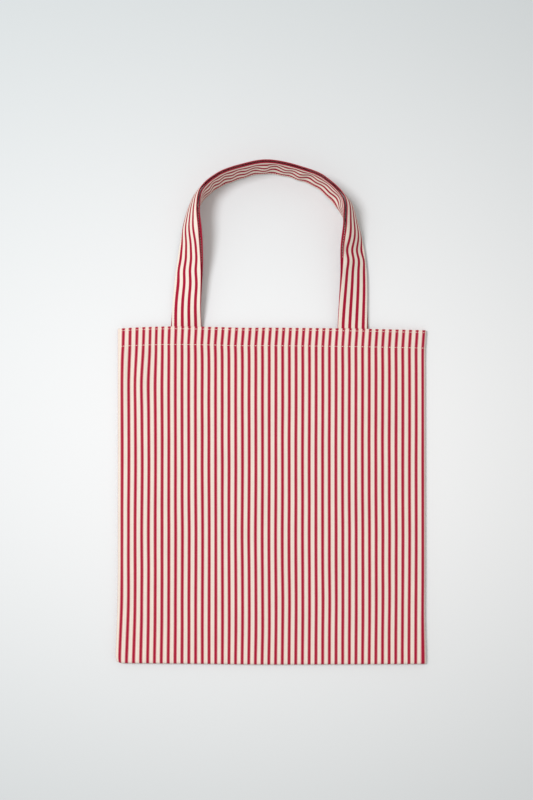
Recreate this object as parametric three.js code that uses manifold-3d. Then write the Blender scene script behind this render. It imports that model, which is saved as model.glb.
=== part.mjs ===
// A canvas tote bag that lies on its back panel with both handles up, in millimetres.
// +X is to the right of the front panel, +Y runs from the bottom seam to the handles and +Z points out
// of the front panel. The origin is under the middle of the whole bag, on the surface it lies on.
import * as THREE from "three";
import { mergeVertices } from "three/addons/utils/BufferGeometryUtils.js";
import Module from "manifold-3d";

const wasm = await Module();
wasm.setup();

// The bag's body
const BODY_WIDTH = 380;
const BODY_HEIGHT = 416;
const HALF_WIDTH = BODY_WIDTH / 2;
const BOTTOM_Y = -310.8;
const TOP_Y = BOTTOM_Y + BODY_HEIGHT;
const HEM_DEPTH = 25;
const HEM_BOTTOM_Y = TOP_Y - HEM_DEPTH;

// Each layer's underside and upper face, from the surface that the bag lies on up to the front
const BACK_PANEL = [0, 1.1];
const BACK_HEM = [1.4, 2.1];
const BACK_HANDLE_END = [2.4, 4.0];
const FRONT_HANDLE_END = [4.5, 6.1];
const FRONT_HEM = [6.4, 7.1];
const FRONT_PANEL = [7.4, 8.5];
const SEAM_ALLOWANCE = [1.4, 2.4];
const BOTTOM_SEAM_ALLOWANCE = [1.4, 7.0];

// The crease that each side folds on runs from the bottom corner to the mouth, this far in from the side
const CREASE_INSET = 60;
const CREASE_GAP = 0.6;
const SIDE_START_Y = BOTTOM_Y + 20;
const FRONT_SIDE_SLOPE = 0.04;

// Seams and stitches
const SEAM_WIDTH = 10;
const SEAM_TAPER_END_Y = BOTTOM_Y + 76;
const LAYER_GAP = 0.3;
const OVERLOCK_WIDTH = 0.8;
const UPPER_ROW_DEPTH = 2.7;
const LOWER_ROW_DEPTH = 22;
const THREAD_WIDTH = 0.8;
const THREAD_THICKNESS = 0.3;
const THREAD_INSET = 0.05;
const GROOVE_WIDTH = 1.4;
const GROOVE_DEPTH = 0.65;
const GROOVE_OVERRUN = 1;
const ROW_END_MARGIN = 2;

// Handles
const STRAP_WIDTH = 40;
const STRAP_THICKNESS = 1.6;
const LEFT_END_X = -105.4;
const RIGHT_END_X = 101.4;
const HANDLE_END_DEPTH = 22.5;
const HANDLE_END_RISE = 1.2;
const LOOP_START = 1.5;
const STRAP_STEPS = 96;
const STRAP_COLUMNS = 4;
const EDGE_STITCH_INSET = 2.5;

// The front handle's middle line: x, distance beyond the hem, height of the strap's outer edge, and
// the strap's roll in degrees, from lying flat at the hem to standing on its outer edge in the arch
const FRONT_ROUTE = [
  [LEFT_END_X, LOOP_START, 5.3, 0],
  [LEFT_END_X, 24, 5, 7],
  [-101, 66, 4.1, 31],
  [-97.8, 115, 4.4, 56],
  [-95.5, 146, 3.9, 69],
  [-88, 168, 1.9, 80],
  [-69, 184.5, 1, 84],
  [-31, 198.5, 1, 84],
  [-4, 202.3, 1, 84],
  [36.5, 194, 1, 84],
  [68, 180, 1, 84],
  [90.5, 157, 2.7, 77],
  [98.5, 126, 4.3, 61],
  [101.5, 95, 4.5, 40],
  [102, 66, 4.1, 30],
  [RIGHT_END_X, 24, 5, 7],
  [RIGHT_END_X, LOOP_START, 5.3, 0],
];

// Inside the front handle, the back one keeps this far from it at the hem and in the arch, measured
// between the middles of the straps, and leans the other way by up to this angle. Its lean grows, and
// its sideways shift at the hem fades, with this power of how far the strap stands up.
const NEST_AT_HEM = 2.1;
const NEST_IN_ARCH = 3.2;
const NEST_LEAN = 12;
const BACK_END_SHIFT = 1.5;
const NEST_POWER = 4;

const canvas = () => new THREE.MeshStandardMaterial({ color: "#d8a3a0", roughness: 0.9, metalness: 0 });
const thread = () => new THREE.MeshStandardMaterial({ color: "#f1e9d8", roughness: 0.7, metalness: 0 });

const bag = new THREE.Group();

function addPiece(name, geometry, material) {
  const mesh = new THREE.Mesh(geometry, material);
  mesh.name = name;
  bag.add(mesh);
}

function toManifold(geometry) {
  const bare = new THREE.BufferGeometry();
  bare.setAttribute("position", geometry.getAttribute("position"));
  bare.setIndex(geometry.index);
  const merged = mergeVertices(bare);
  const mesh = new wasm.Mesh({
    numProp: 3,
    vertProperties: new Float32Array(merged.attributes.position.array),
    triVerts: new Uint32Array(merged.index.array),
  });
  return new wasm.Manifold(mesh);
}

function fromManifold(solid) {
  const mesh = solid.getMesh();
  const geometry = new THREE.BufferGeometry();
  geometry.setAttribute("position", new THREE.BufferAttribute(mesh.vertProperties, 3));
  geometry.setIndex(new THREE.BufferAttribute(mesh.triVerts, 1));
  geometry.computeVertexNormals();
  return geometry;
}

function cut(geometry, tools) {
  let solid = toManifold(geometry);
  for (const tool of tools) {
    solid = solid.subtract(toManifold(tool));
  }
  return fromManifold(solid);
}

// A flat plate with this outline between two heights, raised at each point by lift(x, y).
function plate(outline, [low, high], lift = () => 0) {
  const shape = new THREE.Shape(outline.map(([x, y]) => new THREE.Vector2(x, y)));
  const geometry = new THREE.ExtrudeGeometry(shape, { depth: high - low, bevelEnabled: false });
  const position = geometry.attributes.position;
  for (let i = 0; i < position.count; i += 1) {
    const raised = low + lift(position.getX(i), position.getY(i));
    position.setZ(i, position.getZ(i) + raised);
  }
  return geometry;
}

// How far from the bag's middle the creases are at height y.
function creaseX(y) {
  return HALF_WIDTH - (CREASE_INSET * (y - BOTTOM_Y)) / BODY_HEIGHT;
}

// The two front sides slope down from their creases towards the side seams.
function frontSideLift(x, y) {
  return -FRONT_SIDE_SLOPE * (Math.abs(x) - creaseX(y));
}

// The part of a panel between the creases, from y0 up to y1.
function middleOutline(y0, y1, margin = 0) {
  const low = creaseX(y0) - CREASE_GAP - margin;
  const high = creaseX(y1) - CREASE_GAP - margin;
  return [[-low, y0], [low, y0], [high, y1], [-high, y1]];
}

// The part of a panel outside one crease, on the left (side -1) or the right (side 1).
function sideOutline(side, y0, y1, margin = 0) {
  const low = creaseX(y0) + CREASE_GAP + margin;
  const high = creaseX(y1) + CREASE_GAP + margin;
  const edge = HALF_WIDTH - margin;
  return [[side * low, y0], [side * edge, y0], [side * edge, y1], [side * high, y1]];
}

// The groove that a row of stitches lies in, and the thread in it, as heights on a panel's outer face.
function rowHeights(panel, isFront) {
  const [low, high] = panel;
  if (isFront) {
    const top = high - THREAD_INSET;
    return { groove: [high - GROOVE_DEPTH, high + GROOVE_OVERRUN], threadLayer: [top - THREAD_THICKNESS, top] };
  }
  const bottom = low + THREAD_INSET;
  return { groove: [low - GROOVE_OVERRUN, low + GROOVE_DEPTH], threadLayer: [bottom, bottom + THREAD_THICKNESS] };
}

// One stretch of a panel with its turned-in hem and its two rows of stitches.
function addPanelStretch({ prefix, suffix, panel, hem, outline, startY, lift }) {
  const { groove, threadLayer } = rowHeights(panel, prefix === "front");
  const grooves = [];
  for (const [row, depth] of [["upper", UPPER_ROW_DEPTH], ["lower", LOWER_ROW_DEPTH]]) {
    const y = TOP_Y - depth;
    const grooveOutline = outline(y - GROOVE_WIDTH / 2, y + GROOVE_WIDTH / 2, -ROW_END_MARGIN);
    grooves.push(plate(grooveOutline, groove, lift));
    const threadOutline = outline(y - THREAD_WIDTH / 2, y + THREAD_WIDTH / 2, ROW_END_MARGIN);
    addPiece(`${prefix}_hem_${row}_stitches${suffix}`, plate(threadOutline, threadLayer, lift), thread());
  }
  const cloth = plate(outline(startY, TOP_Y), panel, lift);
  addPiece(`${prefix}_panel${suffix}`, cut(cloth, grooves), canvas());
  addPiece(`${prefix}_hem${suffix}`, plate(outline(HEM_BOTTOM_Y, TOP_Y), hem, lift), canvas());
}

function addPanel(prefix, panel, hem, sideLift) {
  const shared = { prefix, panel, hem };
  addPanelStretch({ ...shared, suffix: "", outline: middleOutline, startY: BOTTOM_Y });
  for (const [side, suffix] of [[-1, "_left_side"], [1, "_right_side"]]) {
    const outline = (y0, y1, margin) => sideOutline(side, y0, y1, margin);
    addPanelStretch({ ...shared, suffix, outline, startY: SIDE_START_Y, lift: sideLift });
  }
}

// The allowance inside one side, tapering with the folding side towards the bottom corner, and the
// overlock thread along its raw edge.
function addSideSeam(side, suffix) {
  const rawX = HALF_WIDTH - SEAM_WIDTH;
  const topY = HEM_BOTTOM_Y - LAYER_GAP;
  const taperX = creaseX(SIDE_START_Y) + CREASE_GAP;
  const allowance = [
    [side * taperX, SIDE_START_Y],
    [side * HALF_WIDTH, SIDE_START_Y],
    [side * HALF_WIDTH, topY],
    [side * rawX, topY],
    [side * rawX, SEAM_TAPER_END_Y],
  ];
  addPiece(`side_seam${suffix}`, plate(allowance, SEAM_ALLOWANCE), canvas());
  const threadEdge = rawX - LAYER_GAP;
  const overlock = [
    [side * (threadEdge - OVERLOCK_WIDTH), SEAM_TAPER_END_Y + SEAM_WIDTH],
    [side * threadEdge, SEAM_TAPER_END_Y + SEAM_WIDTH],
    [side * threadEdge, topY],
    [side * (threadEdge - OVERLOCK_WIDTH), topY],
  ];
  addPiece(`side_seam_overlock${suffix}`, plate(overlock, SEAM_ALLOWANCE), thread());
}

// The allowance inside the bottom edge, which closes the bag there, and its overlock thread.
function addBottomSeam() {
  const rawY = BOTTOM_Y + SEAM_WIDTH;
  addPiece("bottom_seam", plate(middleOutline(BOTTOM_Y, rawY), BOTTOM_SEAM_ALLOWANCE), canvas());
  const overlock = middleOutline(rawY + LAYER_GAP, rawY + LAYER_GAP + OVERLOCK_WIDTH, ROW_END_MARGIN);
  addPiece("bottom_seam_overlock", plate(overlock, SEAM_ALLOWANCE), thread());
}

// The stretches of strap that are sewn inside a hem.
function addHandleEnds(prefix, layer, shift) {
  for (const [name, x] of [["left", LEFT_END_X + shift], ["right", RIGHT_END_X + shift]]) {
    const left = x - STRAP_WIDTH / 2;
    const right = x + STRAP_WIDTH / 2;
    const bottom = TOP_Y - HANDLE_END_DEPTH;
    const top = TOP_Y + HANDLE_END_RISE;
    const outline = [[left, bottom], [right, bottom], [right, top], [left, top]];
    addPiece(`${prefix}_handle_${name}_end`, plate(outline, layer), canvas());
  }
}

// The strap's directions where its middle line heads along a tangent and it has this roll: across it
// towards its raised edge, and out of its upper face.
function strapAxes(tangent, roll) {
  const inward = new THREE.Vector3(tangent.y, -tangent.x, 0).normalize();
  const up = new THREE.Vector3(0, 0, 1);
  const across = inward.clone().multiplyScalar(Math.cos(roll)).addScaledVector(up, Math.sin(roll));
  const out = up.clone().multiplyScalar(Math.cos(roll)).addScaledVector(inward, -Math.sin(roll));
  return { across, out };
}

// A route's stations as curves: the middle line in space, and the roll along it.
function routeCurves(route) {
  const middles = route.map(([x, beyond, outerEdge, degrees]) => {
    const rise = (STRAP_WIDTH / 2) * Math.sin(THREE.MathUtils.degToRad(degrees));
    return new THREE.Vector3(x, TOP_Y + beyond, outerEdge + rise);
  });
  const rolls = route.map(([, , , degrees]) => new THREE.Vector3(THREE.MathUtils.degToRad(degrees), 0, 0));
  return { middle: new THREE.CatmullRomCurve3(middles), roll: new THREE.CatmullRomCurve3(rolls) };
}

function stationAt({ middle, roll }, share) {
  const angle = roll.getPoint(share).x;
  const { across, out } = strapAxes(middle.getTangent(share), angle);
  return { point: middle.getPoint(share), across, out, angle };
}

function frontStation(share) {
  return stationAt(frontCurves, share);
}

// The back handle's raised edge keeps close under the front one's, and its outer edge lies further in.
function backStation(share) {
  const front = stationAt(frontCurves, share);
  const standing = Math.sin(front.angle);
  const apart = NEST_AT_HEM + (NEST_IN_ARCH - NEST_AT_HEM) * standing;
  const lean = THREE.MathUtils.degToRad(NEST_LEAN) * standing ** NEST_POWER;
  const angle = front.angle + lean;
  const { across, out } = strapAxes(frontCurves.middle.getTangent(share), angle);
  const point = front.point
    .clone()
    .addScaledVector(front.across, STRAP_WIDTH / 2)
    .addScaledVector(front.out, -apart)
    .addScaledVector(across, -STRAP_WIDTH / 2)
    .add(new THREE.Vector3(BACK_END_SHIFT * (1 - standing) ** NEST_POWER, 0, 0));
  return { point, across, out };
}

// A ribbon that follows a handle, between two distances across the strap and two out of its face.
function ribbon(station, [acrossLow, acrossHigh], [outLow, outHigh], columns) {
  const geometry = new THREE.BoxGeometry(1, 1, 1, columns, STRAP_STEPS, 1);
  const position = geometry.attributes.position;
  for (let i = 0; i < position.count; i += 1) {
    const { point, across, out } = station(position.getY(i) + 0.5);
    const sideways = THREE.MathUtils.lerp(acrossLow, acrossHigh, position.getX(i) + 0.5);
    const outwards = THREE.MathUtils.lerp(outLow, outHigh, position.getZ(i) + 0.5);
    point.addScaledVector(across, sideways).addScaledVector(out, outwards);
    position.setXYZ(i, point.x, point.y, point.z);
  }
  geometry.computeVertexNormals();
  return geometry;
}

// A handle's loop beyond the hem, with the rows of stitches along both edges of one face.
function addLoop(prefix, station, face) {
  const half = STRAP_THICKNESS / 2;
  const edge = STRAP_WIDTH / 2;
  addPiece(`${prefix}_handle`, ribbon(station, [-edge, edge], [-half, half], STRAP_COLUMNS), canvas());
  const near = face * (half + LAYER_GAP);
  const far = face * (half + LAYER_GAP + THREAD_THICKNESS);
  const heights = [Math.min(near, far), Math.max(near, far)];
  for (const [name, side] of [["inner", 1], ["outer", -1]]) {
    const middle = side * (edge - EDGE_STITCH_INSET);
    const width = [middle - THREAD_WIDTH / 2, middle + THREAD_WIDTH / 2];
    addPiece(`${prefix}_handle_${name}_edge_stitches`, ribbon(station, width, heights, 1), thread());
  }
}

const frontCurves = routeCurves(FRONT_ROUTE);

addPanel("back", BACK_PANEL, BACK_HEM, () => 0);
addPanel("front", FRONT_PANEL, FRONT_HEM, frontSideLift);
addSideSeam(-1, "_left");
addSideSeam(1, "_right");
addBottomSeam();
addHandleEnds("back", BACK_HANDLE_END, BACK_END_SHIFT);
addHandleEnds("front", FRONT_HANDLE_END, 0);
addLoop("back", backStation, -1);
addLoop("front", frontStation, 1);

export default bag;
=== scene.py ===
"""A flat canvas tote bag in red and cream ticking stripes, lying on its back with its handles nested."""

import math

import bpy
import numpy as np
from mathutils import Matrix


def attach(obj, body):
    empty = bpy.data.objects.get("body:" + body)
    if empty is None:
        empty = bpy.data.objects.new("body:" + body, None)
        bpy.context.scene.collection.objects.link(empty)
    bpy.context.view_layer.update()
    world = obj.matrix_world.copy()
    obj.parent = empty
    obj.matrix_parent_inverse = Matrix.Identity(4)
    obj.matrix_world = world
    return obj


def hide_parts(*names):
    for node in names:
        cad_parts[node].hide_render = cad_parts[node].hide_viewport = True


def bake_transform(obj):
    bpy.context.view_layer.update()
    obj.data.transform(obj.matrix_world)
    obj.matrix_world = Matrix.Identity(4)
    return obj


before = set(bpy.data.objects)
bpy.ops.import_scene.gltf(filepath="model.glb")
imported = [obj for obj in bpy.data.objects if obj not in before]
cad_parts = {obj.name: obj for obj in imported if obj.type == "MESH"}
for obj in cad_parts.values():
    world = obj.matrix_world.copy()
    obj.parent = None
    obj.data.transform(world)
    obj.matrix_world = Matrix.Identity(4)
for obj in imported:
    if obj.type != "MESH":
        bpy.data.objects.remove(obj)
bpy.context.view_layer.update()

# Lengths are in millimetres, and meshes are scaled to metres as they are made.
MM = 0.001

# The bag's body, which lies in the XY plane, with the mouth at the top. Its sides fold along slanted creases.
HALF_WIDTH = 190.0
BOTTOM_Y = -310.8
BODY_HEIGHT = 416.0
TOP_Y = BOTTOM_Y + BODY_HEIGHT
HEM_DEPTH = 25.0
HEM_BOTTOM_Y = TOP_Y - HEM_DEPTH
HEM_TUCK = 9.0
CREASE_INSET = 60.0
CREASE_ZONE = 5.0
HALF_NAME = {-1: "left", 1: "right"}
OUTWARD = {"front": 1.0, "back": -1.0}

# The cloth, and how its layers lie in the hem and at the side seams.
CLOTH = 0.62
LAYER_STEP = 0.7
HEM_INSET = 2 * LAYER_STEP
SEAM_Z = 2.6
SEAM_GAP = 0.36
SEAM_INSET_SHARE = 0.35
SEAM_TURN_IN = 0.9

# The steps and the counts of the rows and columns in its mesh.
COLUMN_STEP = 1.55
BODY_ROW_STEP = 2.6
HEM_ROW_STEP = 1.0
INNER_ROW_STEP = 1.6
CURL_COLUMNS = 7
CURL_ROWS = 6
FOLD_ROWS = 9
TUCK_ROWS = 5
TURNED_ROWS = 6
FINE_ROWS_BELOW_HEM = 6
SMALLEST_COLUMN = 0.4
SMALLEST_ROW = 0.2
FIRST_TURNED_ROW = 1.5

# The curl of each panel's edge towards the seam: how far it reaches in from the seam, and its height.
SIDE_CURL = {"front": 4.0, "back": 3.0}
BOTTOM_CURL = {"front": 3.5, "back": 3.0}
CURL_HEIGHT = {"front": 4.2, "back": 2.2}

# The height above the floor of the middle of each panel's cloth. What raises it comes in between two places,
# measured from the hem's lower edge or from the bottom.
FRONT_BODY_Z = 6.9
HEM_LIFT = 0.6
FRONT_HEM_RISE = (-14, 3)
TAB_LIFT = 0.69
TAB_RISE = (-22, 5)
TAB_FADE = (20.5, 25)
BOTTOM_LIFT = 0.35
BOTTOM_FALL = (9, 24)
FRONT_SIDE_SLOPE = 0.03
BACK_BODY_Z = 0.35
BACK_HEM_LIFT = 0.27
BACK_HEM_RISE = (-14, 0)
BACK_RIPPLE = 0.12
BACK_RIPPLE_NOISE = (5, 60, 120)

# Layers of ripples: (size, seed, length across, length along). The hem and the bottom calm the front's.
FRONT_RIPPLES = [(0.42, 3, 46, 130), (0.16, 8, 17, 60)]
HEM_CALM = 0.75
BOTTOM_CALM = 0.6

# Folds of the front that run along the bag: (x, width, height). They hang from the hem or rise from the
# bottom, each between where it comes in and where it dies out.
HEM_FOLDS = [(-183, 4, 1.6), (-173, 4.5, -1.1), (-160, 6, 1.4), (-146, 6, -0.7)]
HEM_FOLD_REACH = ((8, 34), (60, 150))
BOTTOM_FOLDS = [(-181, 4, 0.5), (-173, 5, -0.5), (178, 6, 0.5), (167, 6, -0.4)]
BOTTOM_FOLD_REACH = ((2, 20), (50, 120))
HEM_STEP = (-4, 4, -0.35)

# How the stripes stray sideways: they lean in the hem, more at the right, and bend below it and at its left
# corner. They also drift, and bend along the fold below the hem, but not at the side edges.
HEM_LEAN = 0.4
RIGHT_LEAN = 1.1
RIGHT_LEAN_RISE = (-120, 60)
HEM_PULLS = [(-60, 40, -0.8)]
CORNER_BEND = 1.3
CORNER_BEND_INSET = 5
BEND_FADE = 14
LEFT_EDGE = (-190, -186)
STRAY_RIPPLES = [(0.45, 11, 70, 90), (0.15, 12, 25, 40)]
STRAY_FADE = (181, 189)
FOLD_BENDS = [(-160, 13, 1.3)]
FOLD_BEND_FADE = (22, 75)
FOLD_END_BENDS = [(-157, 14, -0.5)]
FOLD_END_PLACE = (75, 20)

# How the body's outline strays from a rectangle: (x across the cloth, shift along y).
TOP_EDGE = [
    (-194, -1.8),
    (-160, 0.1),
    (-125, 0.9),
    (-70, 0.2),
    (-35, -0.7),
    (-7, -0.6),
    (90, -1.6),
    (194, -3.8),
]
BOTTOM_EDGE = [(-194, 0.8), (-88, -0.1), (-7, -1.0), (72, -0.8), (194, -0.2)]

# Towards the bottom its sides shift along x: (shift, side, stretch across that side, height where it ends).
FLARES = [
    (-1.595, -1, (70, 190), 130),
    (-1.45, -1, (150, 190), 75),
    (1.9, 1, (184, 190), 75),
    (-0.8, 1, (60, 185), 130),
]
FLARE_START = -10
CORNER_ROUNDING = 1.6
CORNER_REACH = 4.5

# Rows of stitches in the hem, as depths below its top, and the dips that they pull into the cloth.
UPPER_ROW = 2.7
LOWER_ROW = 22.0
FIRST_STITCH = 1.2
STITCH_PITCH = 3.1
STITCH_LENGTH = 2.7
STITCH_RADIUS = 0.27
STITCH_RISE = 0.4
PUCKER = 0.09
MEAN_DIP = 1.2
UPPER_DIP_WIDTH = 0.9
LOWER_DIP_WIDTH = 1.1
OUTER_LAYER = 0.3
THREAD_GAP = 0.1

# The ticking's stripes. On the body's cloth their places are measured from the middle of the bag.
STRIPE_PERIOD = 8.26
FIRST_STRIPE = -184.7

# The straps.
STRAP_WIDTH = 36.4
STRAP_THICKNESS = 1.6
LEFT_END_X = -104.9
RIGHT_END_X = 99.9
TAB_DEPTH = 22.5
TAB_Z = {"front": 5.3, "back": 3.2}
LOOP_START = 1.5
STRAP_STEP = 1.7
STRAP_COLUMNS = 26
FINE_STATIONS = 3000
SHARE_STEP = 1e-4
EDGE_STITCH_INSET = 2.5
EDGE_STITCH_ENDS = (4.0, 6.0)
GROOVE_DEPTH = 0.16
GROOVE_WIDTH = 0.7

# Where the stripes lie across each strap. On the faces that the nested straps turn to each other they move
# towards the strap's two edges, each between two places across it.
STRIPE_SHIFT = {"front": 1.2, "back": 2.1}
RAISED_EDGE_SHIFT = {"front": 2.9, "back": 2.1}
RAISED_EDGE_ZONE = (-15, 10)
OUTER_EDGE_SHIFT = -4.5
OUTER_EDGE_ZONE = (-17, -12)

# The front handle's middle line: x, distance beyond the hem, height of the strap's outer edge, and
# the strap's roll in degrees, from lying flat at the hem to standing on its outer edge in the arch.
FRONT_ROUTE = [
    (LEFT_END_X, LOOP_START, 5.3, 0),
    (LEFT_END_X, 24, 5, 12),
    (-102.3, 66, 4.1, 26),
    (-99.5, 115, 4.4, 51),
    (-96.6, 146, 3.9, 69),
    (-88.3, 168, 1.9, 81),
    (-69, 184.5, 1, 84),
    (-31, 198.5, 1, 84),
    (-4, 202.3, 1, 84),
    (36.5, 194, 1, 84),
    (68, 180, 1, 84),
    (91.5, 156.5, 2.7, 80),
    (98.8, 126, 4.3, 62),
    (100.8, 95, 4.5, 41),
    (102, 66, 4.1, 28),
    (100.4, 24, 5, 10),
    (RIGHT_END_X, LOOP_START, 5.3, 0),
]

# Inside the front handle, the back one keeps this far from it, middle to middle, and leans the other way.
NEST_AT_HEM = 2.1
NEST_IN_ARCH = 2.7
NEST_LEAN = 16.5
NEST_RIGHT_LEAN = 7.0
NEST_RIGHT = (55, 90)
NEST_POWER = 4
BACK_END_SHIFT = 1.5
EDGE_CLEARANCE = 0.9

# Beside the arch the two part a little more: by how much, how far beyond the hem, and over what length.
NEST_PARTING = 2.4
PARTING_PLACE = (98, 28)

# How the cloth of the straps strays, first in the strap's plane and then out of it: (distance from where that
# leg leaves the hem, width, size), and ripples. The edges keep their line, and so do the ends of the waves.
LEFT_KINKS = [(84, 6, 0.7), (68, 6, -0.7), (51, 8, 0.6), (118, 9, -0.5)]
RIGHT_KINKS = [(93, 6, 0.5), (80, 7, -0.5)]
KINK_RIPPLES = [(0.5, 43, 34, 30)]
LEFT_WAVES = [(121, 9, 1.1), (98, 9, -0.9)]
RIGHT_WAVES = [(80, 6, 1.1), (93, 6, -1.3), (110, 8, 0.6)]
WAVE_RIPPLES = [(0.25, 45, 22, 15)]
WAVE_START = (6, 30)
WAVE_END = (0.9, 0.985)
STIFF_EDGE = (4, 0.5)

# The straps bow across their width where they roll over, less on the left, and lose most of it in the arch.
BOW = 3.2
LEFT_BOW_SHARE = 0.6
BOW_RISE = (0.5, 0.85)
BOW_FALL = (0.97, 0.995)
BOW_LOSS = 0.85

# The back strap buckles along its lower edge in the arch: its waves, as (wavelength over two pi, slant,
# size), and where they are stronger, as (distance from the hem, width, size).
BUCKLE = 1.5
BUCKLE_LEVEL = 0.3
SHORT_WAVE = (3.3, 1.8, 0.7)
LONG_WAVE = (6.1, -2.0, 0.4)
BUCKLE_DRIFT = [(2.5, 41, 60, 30)]
BUCKLE_STRENGTH = 0.45
LEFT_BUCKLES = [(172, 14, 0.4)]
RIGHT_BUCKLES = [(235, 45, 0.7)]
ARCH_RISE = (0.9, 0.99)

# The seam allowances inside the bag, between two distances from the seam, and the thread over their edges.
SIDE_ALLOWANCE = (0.4, 10.8)
BOTTOM_ALLOWANCE = (1.2, 11.6)
ALLOWANCE_COLUMNS = 8
ALLOWANCE_STEP = 2.0
ALLOWANCE_THICKNESS = 1.6 * CLOTH
SIDE_ALLOWANCE_START = BOTTOM_Y + 24
SIDE_ALLOWANCE_END = HEM_BOTTOM_Y - 3
BOTTOM_ALLOWANCE_INSET = 10
SIDE_EDGE_RIPPLES = [(0.4, 23, 30, 25)]
BOTTOM_EDGE_RIPPLES = [(0.3, 31, 25, 30)]
BOTTOM_FACE_RIPPLES = [(0.25, 33, 16, 12)]
OVERLOCK_PITCH = 2.4
OVERLOCK_DEPTH = 4.6
OVERLOCK_RADIUS = 0.2
OVERLOCK_HALF = ALLOWANCE_THICKNESS / 2 + 0.16

# How sharp an angle between faces stays a hard edge, in degrees.
SHEET_SHARP = 55
THREAD_SHARP = 80
STRAP_SHARP = 100


# ---- numbers

def smooth(value, low, high):
    """From 0 at low to 1 at high, with level ends."""
    t = np.clip((value - low) / (high - low), 0, 1)
    return t * t * (3 - 2 * t)


def bump(value, middle, width):
    """A bell of height 1."""
    return np.exp(-0.5 * ((value - middle) / width) ** 2)


def ridges(value, bells):
    """Bells added together, each given by its middle, its width and its height."""
    return sum(height * bump(value, middle, width) for middle, width, height in bells)


def plateau(value, rise, fall):
    """From 0 up to 1 over the first stretch, and down again over the second."""
    return smooth(value, *rise) * (1 - smooth(value, *fall))


def drift(x, y, seed, size_x, size_y):
    """Smooth noise from -1 to 1, with features of these sizes."""
    count = 64
    lattice = np.random.default_rng(seed).uniform(-1, 1, (count, count))
    gx = np.asarray(x) / size_x + 20.3
    gy = np.asarray(y) / size_y + 20.7
    ix, iy = np.floor(gx).astype(int), np.floor(gy).astype(int)
    fx, fy = smooth(gx - ix, 0, 1), smooth(gy - iy, 0, 1)
    west, east = ix % count, (ix + 1) % count
    south, north = iy % count, (iy + 1) % count
    low = lattice[west, south] * (1 - fx) + lattice[east, south] * fx
    high = lattice[west, north] * (1 - fx) + lattice[east, north] * fx
    return low * (1 - fy) + high * fy


def ripples(x, y, layers):
    """Layers of smooth noise added together, each given by its size, its seed and its lengths."""
    return sum(size * drift(x, y, seed, size_x, size_y) for size, seed, size_x, size_y in layers)


def root_chord(start, end):
    """The square roots of the distances between pairs of points, as a column."""
    return np.sqrt(np.linalg.norm(end - start, axis=1))[:, None]


def catmull_rom(points, share):
    """Points on a centripetal Catmull-Rom curve, at shares from 0 to 1 of its spans."""
    shortest = 1e-4
    points = np.asarray(points, float)
    padded = np.vstack([2 * points[0] - points[1], points, 2 * points[-1] - points[-2]])
    place = np.clip(np.asarray(share, float), 0, 1) * (len(points) - 1)
    i = np.minimum(place.astype(int), len(points) - 2)
    w = (place - i)[:, None]
    x0, x1, x2, x3 = (padded[i + k] for k in range(4))
    d1 = root_chord(x1, x2)
    d1 = np.where(d1 < shortest, 1.0, d1)
    d0, d2 = (np.where(d < shortest, d1, d) for d in (root_chord(x0, x1), root_chord(x2, x3)))
    t1 = ((x1 - x0) / d0 - (x2 - x0) / (d0 + d1) + (x2 - x1) / d1) * d1
    t2 = ((x2 - x1) / d1 - (x3 - x1) / (d1 + d2) + (x3 - x2) / d2) * d1
    return x1 + t1 * w + (3 * (x2 - x1) - 2 * t1 - t2) * w**2 + (2 * (x1 - x2) + t1 + t2) * w**3


def curve_through(knots, x):
    """A smooth curve y(x) through a few knots."""
    samples = 200
    line = catmull_rom(knots, np.linspace(0, 1, samples))
    return np.interp(x, line[:, 0], line[:, 1])


def unit(vectors):
    """The same directions, with a length of 1."""
    tiny = 1e-9
    return vectors / np.maximum(np.linalg.norm(vectors, axis=-1, keepdims=True), tiny)


def run_along(path):
    """The distance along a path at each of its points."""
    return np.concatenate([[0], np.cumsum(np.linalg.norm(np.diff(path, axis=0), axis=1))])


def points_at(places, distance, values):
    """The points or directions at places along a line, from the ones known at these distances."""
    return np.stack([np.interp(places, distance, values[:, k]) for k in range(3)], -1)


# ---- meshes

def make_mesh(name, points, faces, uvs, material, sharp):
    """A smooth-shaded object from points, each with its place on the cloth. Both are in millimetres."""
    mesh = bpy.data.meshes.new(name)
    mesh.from_pydata((np.asarray(points) * MM).tolist(), [], faces)
    layer = mesh.uv_layers.new(name="cloth")
    corners = np.zeros(len(mesh.loops), np.int64)
    mesh.loops.foreach_get("vertex_index", corners)
    layer.data.foreach_set("uv", (np.asarray(uvs) * MM)[corners].astype(np.float32).ravel())
    mesh.polygons.foreach_set("use_smooth", [True] * len(mesh.polygons))
    mesh.set_sharp_from_angle(angle=math.radians(sharp))
    mesh.materials.append(material)
    mesh.validate()
    thing = bpy.data.objects.new(name, mesh)
    bpy.context.scene.collection.objects.link(thing)
    return thing


def grid_faces(rows, columns, start, flip):
    """The quads of a grid of points."""
    faces = []
    for r in range(rows - 1):
        for c in range(columns - 1):
            a = start + r * columns + c
            quad = [a, a + 1, a + columns + 1, a + columns]
            faces.append(quad[::-1] if flip else quad)
    return faces


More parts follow.
